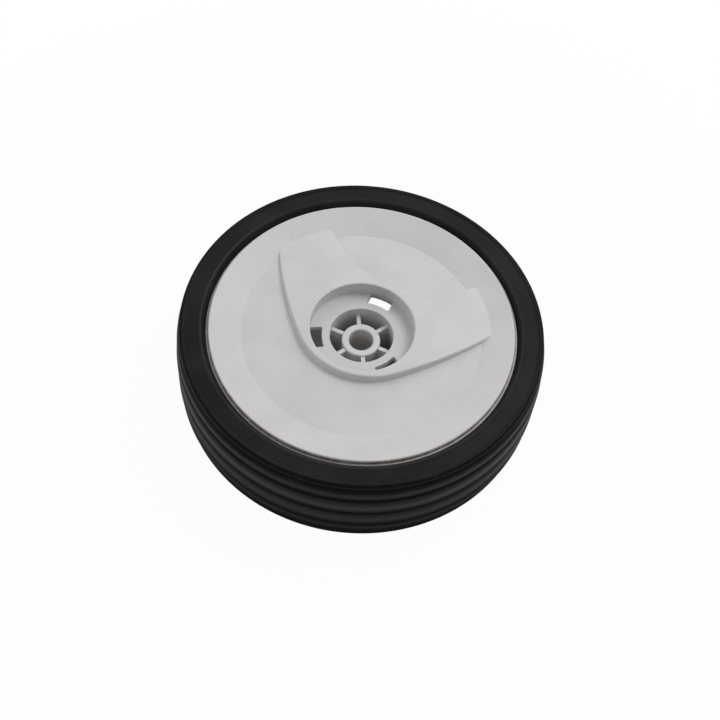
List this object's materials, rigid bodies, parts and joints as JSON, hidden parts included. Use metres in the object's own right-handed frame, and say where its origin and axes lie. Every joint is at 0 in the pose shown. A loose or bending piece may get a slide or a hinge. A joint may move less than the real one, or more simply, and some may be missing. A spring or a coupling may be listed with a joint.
{
  "type": "lawn mower wheel",
  "caption": "Lawn mower wheel: a rubber tyre with round circumferential ribs on a dished plastic wheel body, with a raised panel, a ribbed hub and a plain axle bore.",
  "frame": {"origin": "on the axle's axis, in the plane of the tyre's back sidewall that the wheel lies on", "axes": "+Z along the axle's axis, out of the wheel's outer face; the raised panel is symmetric about the YZ plane, with the gap between its arms towards +Y"},
  "size_m": [0.18, 0.18, 0.048],
  "materials": {
    "tyre": "matte",
    "wheel_body": "satin"
  },
  "bodies": {
    "root": {"tyre": "tyre", "wheel_body": "wheel_body"}
  },
  "joints": []
}
